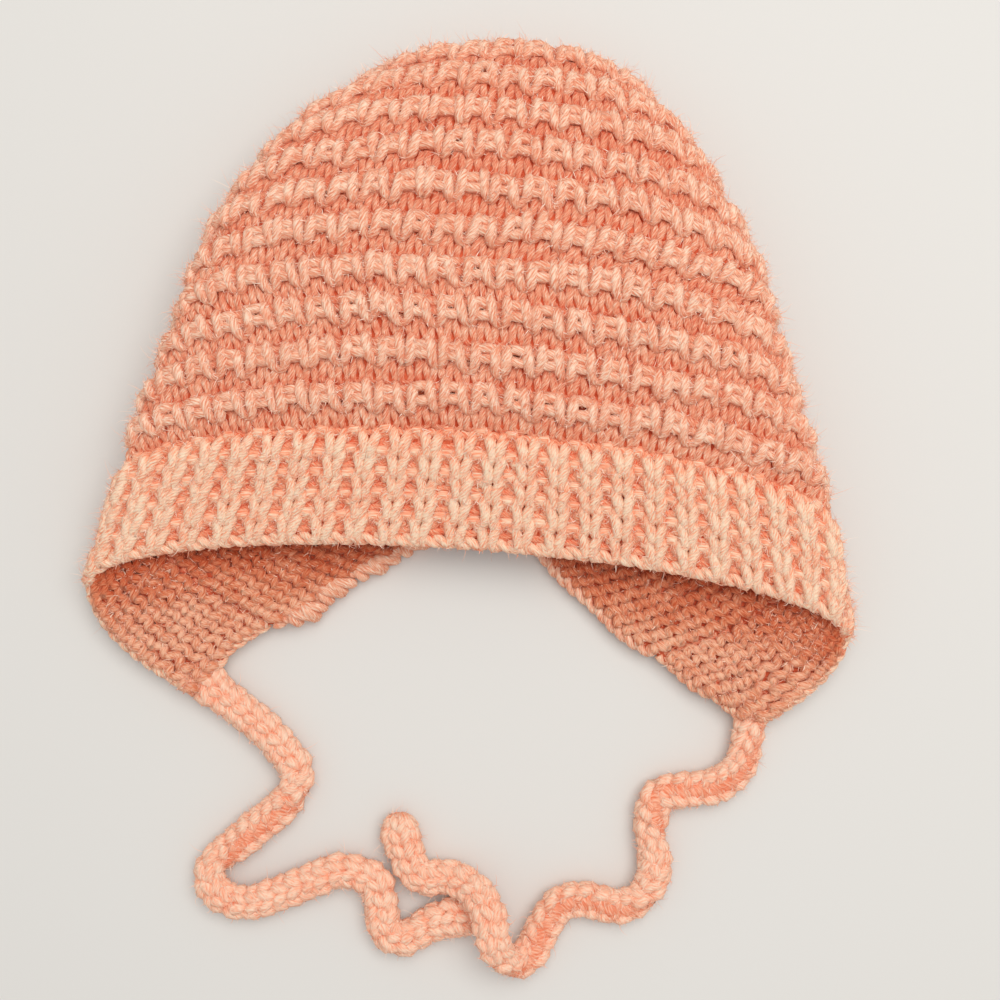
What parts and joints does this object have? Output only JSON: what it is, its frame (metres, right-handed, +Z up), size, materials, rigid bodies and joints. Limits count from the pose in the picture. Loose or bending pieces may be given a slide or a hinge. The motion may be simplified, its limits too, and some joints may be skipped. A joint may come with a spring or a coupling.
{
  "type": "knit bonnet",
  "caption": "Knitted baby bonnet in peach yarn, ridged crown with a ribbed face band and knitted ties, lying flat with its hollow open.",
  "frame": {"origin": "middle of the bonnet's footprint, without its ties, on the surface that it lies on", "axes": "+X across the bonnet from its left fold to its right fold, +Y from the face opening to the crown, +Z up from the surface"},
  "size_m": [0.226, 0.2753, 0.0343],
  "materials": {
    "crown_knit": "peach plied yarn in slip-stitch ridges, soft and slightly hairy",
    "rib_knit": "peach plied yarn in one-by-one rib, soft and slightly hairy",
    "tie_knit": "peach plied yarn knitted into a round cord, soft and slightly hairy"
  },
  "bodies": {
    "root": {"crown": "crown_knit", "face_band": "rib_knit", "left_tie": "tie_knit", "right_tie": "tie_knit"}
  },
  "joints": []
}
